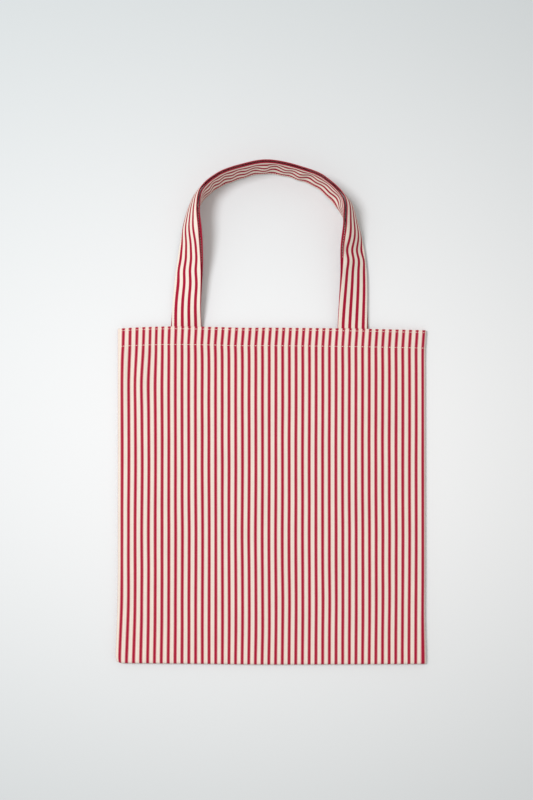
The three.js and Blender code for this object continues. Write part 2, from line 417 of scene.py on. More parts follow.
def sheet_mesh(name, middle, uv, thickness, material):
    """A sheet of cloth: two faces on either side of a grid of points, closed round its edges."""
    rows, columns = middle.shape[:2]
    normal = unit(np.cross(np.gradient(middle, axis=1), np.gradient(middle, axis=0)))
    upper = (middle + normal * thickness / 2).reshape(-1, 3)
    lower = (middle - normal * thickness / 2).reshape(-1, 3)
    count = rows * columns
    faces = grid_faces(rows, columns, 0, False) + grid_faces(rows, columns, count, True)
    rim = list(range(columns))
    rim += [r * columns + columns - 1 for r in range(1, rows)]
    rim += [(rows - 1) * columns + c for c in range(columns - 2, -1, -1)]
    rim += [r * columns for r in range(rows - 2, 0, -1)]
    for a, b in zip(rim, rim[1:] + rim[:1]):
        faces.append([b, a, a + count, b + count])
    flat = uv.reshape(-1, 2)
    points = np.vstack([upper, lower])
    return make_mesh(name, points, faces, np.vstack([flat, flat]), material, SHEET_SHARP)


def tube_faces(rings, sides, start=0):
    """The quads round a tube and the faces that close its ends."""
    faces = []
    for r in range(rings - 1):
        for k in range(sides):
            a = start + r * sides + k
            b = start + r * sides + (k + 1) % sides
            faces.append([a, a + sides, b + sides, b])
    faces.append([start + k for k in range(sides)])
    faces.append([start + (rings - 1) * sides + k for k in range(sides)][::-1])
    return faces


def tube_uv(angles, radius, run):
    """The places on a tube's surface: round it and along it."""
    return np.stack(np.broadcast_arrays(angles[None] * radius, run[:, None]), -1).reshape(-1, 2)


def stitches_mesh(name, rows, material):
    """Short stitches of thread. Each row gives where its stitches start and end, and which way is up."""
    sides, rings = 8, 7
    flatness, tip = 0.75, 0.05
    along = np.linspace(0, 1, rings)
    from_middle = np.abs(2 * along - 1)
    profile = np.sqrt(np.clip(1 - from_middle**6, tip, 1))
    dive = -1.1 * STITCH_RADIUS * from_middle**4
    angles = 2 * math.pi * np.arange(sides) / sides
    points, faces, uvs = [], [], []
    for starts, ends, ups in rows:
        for start, end, up in zip(starts, ends, ups):
            side = unit(np.cross(end - start, up))
            centre = start + (end - start) * along[:, None] + up * dive[:, None]
            round_it = side * np.cos(angles)[:, None] + up * np.sin(angles)[:, None] * flatness
            ring = centre[:, None] + round_it[None] * (profile * STITCH_RADIUS)[:, None, None]
            faces += tube_faces(rings, sides, len(points) * rings * sides)
            points.append(ring.reshape(-1, 3))
            uvs.append(tube_uv(angles, STITCH_RADIUS, along * np.linalg.norm(end - start)))
    return make_mesh(name, np.vstack(points), faces, np.vstack(uvs), material, THREAD_SHARP)


def thread_mesh(name, path, radius, material):
    """A thread of round section along a path of points, which never runs the way that steady points."""
    sides = 6
    steady = [0.13, 0.21, 0.97]
    tangent = unit(np.gradient(path, axis=0))
    side = unit(np.cross(tangent, steady))
    up = np.cross(side, tangent)
    angles = 2 * math.pi * np.arange(sides) / sides
    ring = side[:, None] * np.cos(angles)[:, None] + up[:, None] * np.sin(angles)[:, None]
    points = (path[:, None] + radius * ring).reshape(-1, 3)
    uv = tube_uv(angles, radius, run_along(path))
    return make_mesh(name, points, tube_faces(len(path), sides), uv, material, THREAD_SHARP)


# ---- the body's shape

def crease_distance(x, y):
    """How far outside the side crease a point lies, which is negative in the middle of the panel."""
    crease_x = HALF_WIDTH - CREASE_INSET * (y - BOTTOM_Y) / BODY_HEIGHT
    return (np.abs(x) - crease_x) * BODY_HEIGHT / math.hypot(BODY_HEIGHT, CREASE_INSET)


def tab_cover(x):
    """1 over the ends of the straps in the hem, and 0 away from them."""
    return sum(1 - smooth(np.abs(x - end_x), *TAB_FADE) for end_x in (LEFT_END_X, RIGHT_END_X))


def front_height(x, y):
    """The height of the middle of the front cloth, away from its curled edges."""
    in_hem = smooth(y - HEM_BOTTOM_Y, *FRONT_HEM_RISE)
    tabs = tab_cover(x) * smooth(y - HEM_BOTTOM_Y, *TAB_RISE)
    bottom = 1 - smooth(y - BOTTOM_Y, *BOTTOM_FALL)
    height = FRONT_BODY_Z + HEM_LIFT * in_hem + TAB_LIFT * tabs + BOTTOM_LIFT * bottom
    height = height - FRONT_SIDE_SLOPE * np.maximum(0, crease_distance(x, y))
    loose = 1 - HEM_CALM * in_hem - BOTTOM_CALM * bottom
    return height + loose * ripples(x, y, FRONT_RIPPLES) + wrinkles(x, y)


def wrinkles(x, y):
    """The soft folds that hang from the hem near the left side, smaller ones that rise from the bottom near
    both sides, and the step down from the hem."""
    below_hem = plateau(TOP_Y - y, *HEM_FOLD_REACH)
    above_bottom = plateau(y - BOTTOM_Y, *BOTTOM_FOLD_REACH)
    folds = ridges(x, HEM_FOLDS) * below_hem + ridges(x, BOTTOM_FOLDS) * above_bottom
    return folds + ridges(y - HEM_BOTTOM_Y, [HEM_STEP])


def back_height(x, y):
    """The height of the middle of the back cloth, which lies on the floor."""
    in_hem = smooth(y - HEM_BOTTOM_Y, *BACK_HEM_RISE)
    ripple = BACK_RIPPLE * (1 + drift(x, y, *BACK_RIPPLE_NOISE)) * (1 - in_hem)
    return BACK_BODY_Z + BACK_HEM_LIFT * in_hem + ripple


def hem_sway(x, y):
    """How the stripes stray sideways in the hem and just below it."""
    row = TOP_Y - LOWER_ROW
    in_hem = np.clip((y - row) / LOWER_ROW, 0, 1)
    below = np.exp(-np.maximum(0, row - y) / BEND_FADE)
    lean = (HEM_LEAN + RIGHT_LEAN * smooth(x, *RIGHT_LEAN_RISE)) * in_hem
    pull = ridges(x, HEM_PULLS) * (1 - in_hem) * below
    corner = CORNER_BEND * np.exp(-(x + HALF_WIDTH - CORNER_BEND_INSET) / BEND_FADE) * below
    return smooth(x, *LEFT_EDGE) * (lean + pull + corner)


def fold_sway(x, y):
    """How the stripes stray sideways along the fold that hangs from the hem."""
    depth = TOP_Y - y
    along_fold = ridges(x, FOLD_BENDS) * (1 - smooth(depth, *FOLD_BEND_FADE))
    return along_fold + ridges(x, FOLD_END_BENDS) * bump(depth, *FOLD_END_PLACE)


def sway(x, y):
    """How the stripes stray sideways from straight lines."""
    stray = ripples(x, y, STRAY_RIPPLES) + fold_sway(x, y)
    return hem_sway(x, y) + stray * (1 - smooth(np.abs(x), *STRAY_FADE))


def outline_shift(x, y):
    """How the outline strays from a rectangle, as shifts along x and y. Its lower left corner is rounded."""
    up = (y - BOTTOM_Y) / BODY_HEIGHT
    shift_y = curve_through(TOP_EDGE, x) * up + curve_through(BOTTOM_EDGE, x) * (1 - up)
    shift_x = sum(
        shift * smooth(side * x, *stretch) * (1 - smooth(y - BOTTOM_Y, FLARE_START, reach))
        for shift, side, stretch, reach in FLARES
    )
    to_corner = np.hypot(HALF_WIDTH - np.abs(x), y - BOTTOM_Y)
    rounding = CORNER_ROUNDING * np.exp(-((to_corner / CORNER_REACH) ** 2)) * (x < 0)
    return shift_x + rounding, shift_y + rounding


def curl_arc(reach, height):
    """The length of the cloth in a curled edge."""
    return math.pi / 2 * math.sqrt((reach**2 + height**2) / 2)


def curl(distance, reach, height):
    """A place on a curled edge, at a distance along the cloth from the seam: how far in it is, and how far
    up, from 0 to 1."""
    arc = curl_arc(reach, height)
    angle = np.clip(distance / arc, 0, 1) * math.pi / 2
    return reach * (1 - np.cos(angle)) + np.maximum(0, distance - arc), np.sin(angle)


def side_width(panel):
    """The cloth from the side seam to the middle of the panel, and how much of it is curled."""
    arc = curl_arc(SIDE_CURL[panel], CURL_HEIGHT[panel])
    return HALF_WIDTH - SIDE_CURL[panel] + arc, arc


def cloth_height(panel):
    """The cloth from the bottom seam to the top of the hem, and how much of it is curled."""
    arc = curl_arc(BOTTOM_CURL[panel], CURL_HEIGHT[panel])
    return BODY_HEIGHT - BOTTOM_CURL[panel] + arc, arc


def cloth_point(panel, side, from_seam, along, inset):
    """A point on the middle of one half of a panel's cloth: how far it is from the side seam, along from the
    bottom seam, and inset for the layers that are turned in behind the outer one."""
    span, level_x = curl(from_seam, SIDE_CURL[panel], CURL_HEIGHT[panel])
    rise, level_y = curl(along, BOTTOM_CURL[panel], CURL_HEIGHT[panel])
    x = side * (HALF_WIDTH - span)
    y = BOTTOM_Y + rise
    face = front_height(x, y) if panel == "front" else back_height(x, y)
    level = level_x * level_y
    z = (SEAM_Z + OUTWARD[panel] * SEAM_GAP) * (1 - level) + face * level
    z = z - OUTWARD[panel] * inset * (SEAM_INSET_SHARE + (1 - SEAM_INSET_SHARE) * level_x)
    x = x - side * inset * (1 - level_x) * SEAM_TURN_IN
    bend_x, bend_y = outline_shift(x, y)
    return np.stack([x + bend_x + sway(x, y), y + bend_y, z], -1)


def hem_rows(panel):
    """The cloth's rows up the panel, over the hem's folded edge, down inside it and up under its turned edge:
    the distance along the cloth, the distance along the panel from the seam, and the inset."""
    top, arc = cloth_height(panel)
    fold = HEM_INSET / 2
    tuck = LAYER_STEP / 2
    hem_low = top - HEM_DEPTH
    fine_low = hem_low - FINE_ROWS_BELOW_HEM
    outside = [
        *np.linspace(0, arc, CURL_ROWS, endpoint=False),
        *np.arange(arc, fine_low, BODY_ROW_STEP),
        *np.arange(fine_low, top - fold - SMALLEST_ROW, HEM_ROW_STEP),
    ]
    rows = [(s, s, 0.0) for s in outside]
    run = top - fold
    for angle in np.linspace(0, math.pi, FOLD_ROWS):
        inset = fold * (1 - math.cos(angle))
        rows.append((run + fold * angle, top - fold + fold * math.sin(angle), inset))
    run += fold * math.pi
    inside = top - fold - hem_low - tuck
    for s in np.arange(HEM_ROW_STEP, inside, INNER_ROW_STEP):
        rows.append((run + s, top - fold - s, HEM_INSET))
    run += inside
    for angle in np.linspace(0, math.pi, TUCK_ROWS):
        inset = HEM_INSET - tuck * (1 - math.cos(angle))
        rows.append((run + tuck * angle, hem_low + tuck - tuck * math.sin(angle), inset))
    run += tuck * math.pi
    for s in np.linspace(FIRST_TURNED_ROW, HEM_TUCK, TURNED_ROWS):
        rows.append((run + s, hem_low + tuck + s, HEM_INSET - LAYER_STEP))
    return np.array(rows)


def pucker(from_seam, along, panel):
    """The small dips that the stitches pull into the cloth along both rows."""
    depth = cloth_height(panel)[0] - along
    near = bump(depth, UPPER_ROW, UPPER_DIP_WIDTH) + bump(depth, LOWER_ROW, LOWER_DIP_WIDTH)
    between = np.cos(2 * math.pi * from_seam / STITCH_PITCH)
    return PUCKER * near * (between - MEAN_DIP)


def make_cloth(panel, side, material):
    """One half of a panel, with its hem, from its side seam to the middle of the bag."""
    width, arc = side_width(panel)
    edge = np.linspace(0, arc, CURL_COLUMNS, endpoint=False)
    inner_columns = np.arange(width, arc, -COLUMN_STEP)[::-1]
    columns = np.concatenate([edge, inner_columns[inner_columns > edge[-1] + SMALLEST_COLUMN]])
    if side > 0:
        columns = columns[::-1]
    rows = hem_rows(panel)
    from_seam, run = np.meshgrid(columns, rows[:, 0])
    along = rows[:, 1][:, None] + 0 * from_seam
    inset = rows[:, 2][:, None] + 0 * from_seam
    points = cloth_point(panel, side, from_seam, along, inset)
    outside = np.exp(-((inset / OUTER_LAYER) ** 2))
    points[..., 2] += OUTWARD[panel] * outside * pucker(from_seam, along, panel)
    uv = np.stack([side * (width - from_seam), run], -1)
    if panel == "back":
        points, uv = points[:, ::-1], uv[:, ::-1]
    half = HALF_NAME[side]
    thing = sheet_mesh(f"{panel}_cloth_{half}", points, uv, CLOTH, material)
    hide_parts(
        f"{panel}_panel",
        f"{panel}_panel_{half}_side",
        f"{panel}_hem",
        f"{panel}_hem_{half}_side",
    )
    fold_over_crease(thing, side)


def fold_over_crease(thing, side):
    """Bakes a piece's placement into its mesh. It works out the way across the crease but does not bend the
    piece.
    """
    outwards = np.array([side * BODY_HEIGHT, CREASE_INSET, 0.0])
    outwards = outwards / np.linalg.norm(outwards) * CREASE_ZONE
    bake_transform(thing)


def stitch_ends(panel, side, starts, depth, inset):
    """Where the stitches in one half of a hem go into the cloth and come out of it."""
    along = cloth_height(panel)[0] - depth
    return [
        cloth_point(panel, side, place, along + 0 * place, inset + 0 * place)
        for place in (starts, starts + STITCH_LENGTH)
    ]


def make_hem_stitches(panel, side, row_name, depth, material):
    """One half of a row of stitches round the hem, on its outer face and on its inner one. The inner ones lie
    on the strap where its ends cover the cloth."""
    starts = np.arange(FIRST_STITCH, side_width(panel)[0] - STITCH_LENGTH, STITCH_PITCH)
    outward = OUTWARD[panel]
    rows = []
    for inset, facing, offset in [(0.0, outward, 0.0), (HEM_INSET, -outward, STITCH_PITCH / 2)]:
        ends = stitch_ends(panel, side, starts + offset, depth, inset)
        tilt = unit(np.cross(ends[1] - ends[0], [0, side * outward, 0]))
        up = tilt * np.sign(tilt[:, 2:3]) * facing
        sunk = MEAN_DIP * PUCKER * (inset == 0)
        lift = (CLOTH / 2 + STITCH_RISE * STITCH_RADIUS - sunk) * up
        if inset:
            covered = tab_cover((ends[0][:, 0] + ends[1][:, 0]) / 2)[:, None] > 0.99
            face = TAB_Z[panel] + facing * (STRAP_THICKNESS / 2 + THREAD_GAP)
            for end in ends:
                end[:, 2:] = np.where(covered, face - lift[:, 2:], end[:, 2:])
        rows.append((ends[0] + lift, ends[1] + lift, up))
    half = HALF_NAME[side]
    thing = stitches_mesh(f"{panel}_{row_name}_row_{half}", rows, material)
    node = f"{panel}_hem_{row_name}_stitches"
    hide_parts(node, f"{node}_{half}_side")
    fold_over_crease(thing, side)


# ---- the seams inside

def make_side_seam(side, canvas, thread):
    """The seam allowance along one side, with its overlocked edge."""
    half = HALF_NAME[side]
    from_seam = np.linspace(*SIDE_ALLOWANCE, ALLOWANCE_COLUMNS)
    ys = np.arange(SIDE_ALLOWANCE_START, SIDE_ALLOWANCE_END, ALLOWANCE_STEP)
    span, y = np.meshgrid(from_seam, ys)
    bend_x, bend_y = outline_shift(side * (HALF_WIDTH + 0 * span), y)
    x = side * (HALF_WIDTH - span) + bend_x + ripples(0 * y, y, SIDE_EDGE_RIPPLES)
    face_ripples = [(0.125, 21 + side, 12, 14)]
    z = SEAM_Z - 0.75 * smooth(span, 0, 4) + ripples(span, y, face_ripples)
    points = np.stack([x, y + bend_y, z], -1)
    edge = points[:, -1]
    uv = np.stack([side * (HALF_WIDTH + 3 + span), y - BOTTOM_Y], -1)
    if side > 0:
        points, uv = points[:, ::-1], uv[:, ::-1]
    strip = sheet_mesh(f"side_allowance_{half}", points, uv, ALLOWANCE_THICKNESS, canvas)
    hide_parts(f"side_seam_{half}")
    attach(strip, f"back_{half}_side")
    inwards = np.array([-side, 0.0, 0.0])
    overlock = overlock_mesh(f"side_overlock_{half}", edge, inwards, thread)
    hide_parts(f"side_seam_overlock_{half}")
    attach(overlock, f"back_{half}_side")


def overlock_mesh(name, edge, outwards, material):
    """An overlock's looping thread round a raw edge. outwards points from the cloth past the edge. The loop's
    points say how far outwards they are, on which face, and how far along one stitch."""
    loop = [
        (-OVERLOCK_DEPTH, 1, 0.0),
        (0.1, 1, 0.3),
        (0.5, 0, 0.42),
        (0.1, -1, 0.5),
        (-OVERLOCK_DEPTH, -1, 0.8),
        (0.1, -1, 0.85),
        (0.5, 0, 0.9),
        (0.1, 1, 0.95),
    ]
    run = run_along(edge)
    places = []
    for start in np.arange(0, run[-1] - OVERLOCK_PITCH, OVERLOCK_PITCH):
        for out, up, forward in loop:
            base = points_at(start + forward * OVERLOCK_PITCH, run, edge)
            places.append(base + outwards * out + np.array([0, 0, up * OVERLOCK_HALF]))
    return thread_mesh(name, np.array(places), OVERLOCK_RADIUS, material)


def make_bottom_seam(canvas, thread):
    """The seam allowance along the bottom, turned up inside, with its overlocked edge."""
    from_seam = np.linspace(*BOTTOM_ALLOWANCE, ALLOWANCE_COLUMNS)
    end_x = HALF_WIDTH - BOTTOM_ALLOWANCE_INSET
    xs = np.arange(-end_x, end_x + ALLOWANCE_STEP / 2, ALLOWANCE_STEP)
    x, span = np.meshgrid(xs, from_seam)
    _, bend_y = outline_shift(x, BOTTOM_Y + 0 * x)
    y = BOTTOM_Y + span + bend_y + ripples(x, 0 * x, BOTTOM_EDGE_RIPPLES)
    z = SEAM_Z + 0.1 - 0.5 * smooth(span, 1, 5) + ripples(x, span, BOTTOM_FACE_RIPPLES)
    points = np.stack([x, y, z], -1)
    uv = np.stack([x, -span], -1)
    strip = sheet_mesh("bottom_allowance", points, uv, ALLOWANCE_THICKNESS, canvas)
    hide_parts("bottom_seam")
    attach(strip, "back")
    overlock = overlock_mesh("bottom_overlock", points[-1], np.array([0, 1.0, 0]), thread)
    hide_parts("bottom_seam_overlock")
    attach(overlock, "back")


# ---- the handles

def strap_axes(tangent, roll):
    """Across a strap towards its raised edge, and out of its upper face."""
    inward = unit(np.stack([tangent[:, 1], -tangent[:, 0], 0 * roll], -1))
    up = np.array([0.0, 0.0, 1.0])
    sine, cosine = np.sin(roll)[:, None], np.cos(roll)[:, None]
    return cosine * inward + sine * up, cosine * up - sine * inward


def front_stations(share):
    """The front handle's middle line, its directions and its roll."""
    rolls = np.radians([[roll] for *_, roll in FRONT_ROUTE])
    middles = [
        (x, TOP_Y + beyond, edge + STRAP_WIDTH / 2 * math.sin(math.radians(roll)))
        for x, beyond, edge, roll in FRONT_ROUTE
    ]
    roll = catmull_rom(rolls, share)[:, 0]
    point = catmull_rom(middles, share)
    ahead, behind = (catmull_rom(middles, share + step) for step in (SHARE_STEP, -SHARE_STEP))
    tangent = unit(ahead - behind)
    across, out = strap_axes(tangent, roll)
    return point, tangent, across, out, roll


def back_stations(share):
    """The same for the back handle, nested inside the front one. Its ends lie a little wider apart, and its
    lower edge keeps clear of the floor."""
    point, tangent, across, out, roll = front_stations(share)
    standing = np.sin(roll)
    apart = NEST_AT_HEM + (NEST_IN_ARCH - NEST_AT_HEM) * standing
    apart = apart + NEST_PARTING * bump(point[:, 1] - TOP_Y, *PARTING_PLACE)
    lean = NEST_LEAN + NEST_RIGHT_LEAN * smooth(point[:, 0], *NEST_RIGHT)
    lean = np.radians(lean) * standing**NEST_POWER
    back_across, back_out = strap_axes(tangent, roll + lean)
    middle = point + across * STRAP_WIDTH / 2 - out * apart[:, None] - back_across * STRAP_WIDTH / 2
    middle[:, 0] += BACK_END_SHIFT * np.sign(middle[:, 0]) * (1 - standing) ** NEST_POWER
    lowest = middle[:, 2] - STRAP_WIDTH / 2 * back_across[:, 2]
    middle[:, 2] += np.maximum(0, EDGE_CLEARANCE - lowest)
    return middle, tangent, back_across, back_out, roll + lean


def strap_end(point, reach, direction):
    """The flat stretch of a strap in the hem, which runs along y through a point: its middle line, and the
    directions across the strap and out of it."""
    ahead = np.array([0.0, direction, 0.0])
    inward = np.array([direction, 0.0, 0.0])
    up = np.array([0.0, 0.0, 1.0])
    flat = np.ones((len(reach), 1))
    return point + reach[:, None] * ahead, flat * inward, flat * up


def strap_line(panel):
    """A whole strap from one end in the hem to the other, evenly spaced: its middle line, the directions
    across it and out of it, the distance along it, and how far it stands up."""
    stations = front_stations if panel == "front" else back_stations
    fine = np.linspace(0, 1, FINE_STATIONS)
    run = run_along(stations(fine)[0])
    even = np.linspace(0, run[-1], int(run[-1] / STRAP_STEP))
    point, _, across, out, roll = stations(np.interp(even, run, fine))
    tab = np.arange(-(TAB_DEPTH + LOOP_START), -0.1, STRAP_STEP)
    first = strap_end(point[0], tab, 1.0)
    last = strap_end(point[-1], -tab[::-1], -1.0)
    lines = [np.vstack(stretches) for stretches in zip(first, (point, across, out), last)]
    distance = np.concatenate([tab, even, even[-1] - tab[::-1]])
    standing = np.concatenate([0 * tab, np.sin(roll), 0 * tab])
    return (*lines, distance, standing)


def loop_length(distance):
    """The length of a strap's loop between the hems, from the distances along the whole strap."""
    return distance[-1] - TAB_DEPTH - LOOP_START


def strap_wave(panel, distance, across, standing, total):
    """How a strap's cloth strays: sideways in its own plane, and out of its face. across is from the outer
    edge, below 0, to the raised one. The two straps bend together where they are nested."""
    half = STRAP_WIDTH / 2
    rest = total - distance
    inside = 1 - smooth(np.abs(across), *(half - inset for inset in STIFF_EDGE))
    kinks = ridges(distance, LEFT_KINKS) + ridges(rest, RIGHT_KINKS)
    sideways = inside * (kinks + ripples(distance, 0 * distance, KINK_RIPPLES))
    bow = BOW * np.where(distance < total / 2, LEFT_BOW_SHARE, 1.0) * (1 - (across / half) ** 2)
    bow = bow * smooth(standing, *BOW_RISE) * (1 - BOW_LOSS * smooth(standing, *BOW_FALL))
    leg = smooth(distance, *WAVE_START) * smooth(rest, *WAVE_START) * (1 - smooth(standing, *WAVE_END))
    waves = ridges(distance, LEFT_WAVES) + ridges(rest, RIGHT_WAVES)
    waves = waves + ripples(distance, 0 * distance, WAVE_RIPPLES)
    lift = bow + inside * leg * waves
    if panel == "back":
        lift = lift - buckles(distance, rest, across, standing)
    return sideways, lift


def buckles(distance, rest, across, standing):
    """The small buckles along the back strap's lower edge where it stands in the arch. They are largest low
    on the strap, but not at its very edge."""
    low = 0.5 - across / STRAP_WIDTH
    short, short_slant, short_size = SHORT_WAVE
    long, long_slant, long_size = LONG_WAVE
    short_phase = distance / short + short_slant * low + ripples(distance, 0 * distance, BUCKLE_DRIFT)
    waves = short_size * np.sin(short_phase) + long_size * np.sin(distance / long + long_slant * low)
    strength = BUCKLE_STRENGTH + ridges(distance, LEFT_BUCKLES) + ridges(rest, RIGHT_BUCKLES)
    shape = smooth(low, 0.05, 0.45) * (1 - 0.7 * smooth(low, 0.65, 1))
    return BUCKLE * smooth(standing, *ARCH_RISE) * strength * (BUCKLE_LEVEL + waves) * shape


def strap_section():
    """The strap's section as (across, out) all round: two faces with rounded edges, and the slit where the
    folded cloth's edges meet at the raised one."""
    half_width, half = STRAP_WIDTH / 2, STRAP_THICKNESS / 2
    face = np.linspace(-half_width + 1.0, half_width - 1.0, STRAP_COLUMNS)
    top = half - GROOVE_DEPTH * bump(np.abs(face), half_width - EDGE_STITCH_INSET, GROOVE_WIDTH)
    lip = [(0.45, 0.72), (0.1, 0.42), (0.12, 0.2)]
    slit = [(1.3, 0.0)]
    raised = lip + slit + [(inset, -share) for inset, share in reversed(lip)]
    outer = [(0.45, -0.8), (0.1, -0.45), (0.0, 0.0), (0.1, 0.45), (0.45, 0.8)]
    right = [(half_width - inset, share * half) for inset, share in raised]
    left = [(-half_width + inset, share * half) for inset, share in outer]
    upper = list(zip(face, top))
    lower = list(zip(face[::-1], -top[::-1]))
    return np.array(upper + right + lower + left)


def strap_pattern(panel, section):
    """Where each point of a strap's section lies across the ticking."""
    around = section[:, 0]
    nested = section[:, 1] * OUTWARD[panel] < 0
    raised = RAISED_EDGE_SHIFT[panel] * smooth(around, *RAISED_EDGE_ZONE)
    outer = OUTER_EDGE_SHIFT * (1 - smooth(around, *OUTER_EDGE_ZONE))
    middle = FIRST_STRIPE + 2.5 * STRIPE_PERIOD + STRIPE_SHIFT[panel]
    return around + middle + nested * (raised + outer)


def make_strap(panel, material):
    """One strap, folded from cloth, from end to end."""
    middle, across, out, distance, standing = strap_line(panel)
    section = strap_section()
    place = section[:, 0] + 0 * distance[:, None]
    along = distance[:, None] + 0 * place
    sideways, lift = strap_wave(panel, along, place, standing[:, None], loop_length(distance))
    points = middle[:, None] + across[:, None] * (place + sideways)[..., None]
    points = points + out[:, None] * (section[:, 1] + lift)[..., None]
    uv = np.stack([strap_pattern(panel, section) + 0 * along, along], -1)
    faces = [face[::-1] for face in tube_faces(len(distance), len(section))]
    points, uv = points.reshape(-1, 3), uv.reshape(-1, 2)
    thing = make_mesh(f"{panel}_strap", points, faces, uv, material, STRAP_SHARP)
    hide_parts(f"{panel}_handle", f"{panel}_handle_left_end", f"{panel}_handle_right_end")
    swing_with_handle(thing)


def swing_with_handle(thing):
    """Bakes a piece's placement into its mesh. It does not bend the piece with the handle."""
    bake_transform(thing)


def make_edge_stitches(panel, edge_name, side, material):
    """The row of stitches along one edge of a strap, on both of its faces."""
    middle, across, out, distance, standing = strap_line(panel)
    total = loop_length(distance)
    place = side * (STRAP_WIDTH / 2 - EDGE_STITCH_INSET)
    sideways, lift = strap_wave(panel, distance, place + 0 * distance, standing, total)
    starts = np.arange(EDGE_STITCH_ENDS[0], total - EDGE_STITCH_ENDS[1], STITCH_PITCH)
    rows = []
    for face, offset in ((1, 0.0), (-1, STITCH_PITCH / 2)):
        height = face * (STRAP_THICKNESS / 2 - THREAD_GAP) + lift
        line = middle + across * (place + sideways)[:, None] + out * height[:, None]
        first = points_at(starts + offset, distance, line)
        last = points_at(starts + offset + STITCH_LENGTH, distance, line)
        rows.append((first, last, face * unit(points_at(starts, distance, out))))
    thing = stitches_mesh(f"{panel}_strap_{edge_name}_edge_stitches", rows, material)
    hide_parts(f"{panel}_handle_{edge_name}_edge_stitches")
    swing_with_handle(thing)


# ---- materials

def linear(value):
    """One channel of a colour on screen, from 0 to 1, as the linear value that the shaders take."""
    return value / 12.92 if value <= 0.04045 else ((value + 0.055) / 1.055) ** 2.4


def srgb(red, green, blue):
    """A colour given as on screen, from 0 to 255, in linear values."""
    return (*(linear(value / 255) for value in (red, green, blue)), 1.0)


# The ticking's colours, from the middle of a red stripe at 0 to midway between two stripes at 1. The body's
# stripes have thin side lines, and there is a faint line midway between them.
RED = srgb(157, 12, 47)
CREAM = srgb(231, 223, 211)
BODY_STRIPES = [
    (0.0, RED),
    (0.26, srgb(165, 19, 52)),
    (0.34, srgb(187, 86, 100)),
    (0.39, srgb(211, 163, 159)),
    (0.45, srgb(198, 120, 128)),
    (0.52, srgb(208, 155, 152)),
    (0.60, CREAM),
    (0.93, srgb(230, 220, 208)),
    (0.97, srgb(222, 203, 192)),
    (1.0, srgb(220, 200, 190)),
]
STRAP_STRIPES = [
    (0.0, RED),
    (0.37, srgb(160, 14, 50)),
    (0.44, srgb(193, 94, 106)),
    (0.48, srgb(224, 193, 184)),
    (0.53, srgb(224, 185, 178)),
    (0.60, CREAM),
    (1.0, srgb(230, 221, 209)),
]

# The unevenness of the cloth, as scales of noise across and along it: how the stripes waver and by how much,
# the streaks of its warp, the thick threads of its weft, and broad clouds.
WAVER_SCALE = (700, 260, 1)
WAVER_SIZE = 0.22
STREAK_SCALE = (2100, 45, 1)
SLUB_SCALE = (60, 1900, 1)
CLOUD_SCALE = 28.0
WEAVE_PITCH = 0.52
WEAVE_RELIEF = 0.12
THREAD_RELIEF = 0.06


def new_material(name):
    """A new material with its nodes, its links and its shader."""
    material = bpy.data.materials.new(name)
    material.use_nodes = True
    nodes = material.node_tree.nodes
    return material, nodes, material.node_tree.links, nodes["Principled BSDF"]


def set_inputs(node, values):
    """Gives a node's inputs their values, by name."""
    for name, value in values.items():
        node.inputs[name].default_value = value


def math_node(tree, operation, *values):
    """A Math node whose inputs are numbers or other nodes' outputs."""
    node = tree.nodes.new("ShaderNodeMath")
    node.operation = operation
    for socket, value in zip(node.inputs, values):
        if isinstance(value, (int, float)):
            socket.default_value = value
        else:
            tree.links.new(value, socket)
    return node.outputs[0]


def noise_node(tree, vector, scale, detail=2.0):
    """Noise from 0 to 1 over a vector."""
    node = tree.nodes.new("ShaderNodeTexNoise")
    set_inputs(node, {"Scale": scale, "Detail": detail})
    tree.links.new(vector, node.inputs["Vector"])
    return node.outputs["Fac"]


def scaled_vector(tree, vector, scale):
    """A vector multiplied by a scale for each axis."""
    node = tree.nodes.new("ShaderNodeVectorMath")
    node.operation = "MULTIPLY"
    tree.links.new(vector, node.inputs[0])
    node.inputs[1].default_value = scale
    return node.outputs[0]


def cloth_coordinates(tree):
    """The cloth's own coordinates, across and along it, in metres."""
    node = tree.nodes.new("ShaderNodeUVMap")
    node.uv_map = "cloth"
    return node.outputs["UV"]


def add_relief(tree, height, strength, distance, shader):
    """Gives a shader fine relief from a height."""
    node = tree.nodes.new("ShaderNodeBump")
    set_inputs(node, {"Strength": strength, "Distance": distance})
    tree.links.new(height, node.inputs["Height"])
    tree.links.new(node.outputs[0], shader.inputs["Normal"])


def stripe_colour(tree, cloth, across, stops):
    """The ticking's colour, from the distance to the middle of the nearest stripe, which wavers a little."""
    waver = noise_node(tree, scaled_vector(tree, cloth, WAVER_SCALE), 1.0)
    waver = math_node(tree, "MULTIPLY_ADD", waver, WAVER_SIZE * MM, -WAVER_SIZE / 2 * MM)
    place = math_node(tree, "ADD", across, waver)
    place = math_node(tree, "SUBTRACT", place, FIRST_STRIPE * MM)
    place = math_node(tree, "DIVIDE", place, STRIPE_PERIOD * MM)
    place = math_node(tree, "SUBTRACT", place, math_node(tree, "ROUND", place))
    place = math_node(tree, "ABSOLUTE", place)
    ramp = tree.nodes.new("ShaderNodeValToRGB")
    tree.links.new(math_node(tree, "MULTIPLY", place, 2.0), ramp.inputs["Fac"])
    elements = ramp.color_ramp.elements
    while len(elements) < len(stops):
        elements.new(0.5)
    for element, (position, colour) in zip(elements, stops):
        element.position = position
        element.color = colour
    return ramp.outputs["Color"]


def weave_height(tree, across, along):
    """The weave's hills and hollows, from -1 to 1."""
    waves = [
        math_node(tree, "SINE", math_node(tree, "MULTIPLY", place, math.pi / (WEAVE_PITCH * MM)))
        for place in (across, along)
    ]
    return math_node(tree, "MULTIPLY", *waves)


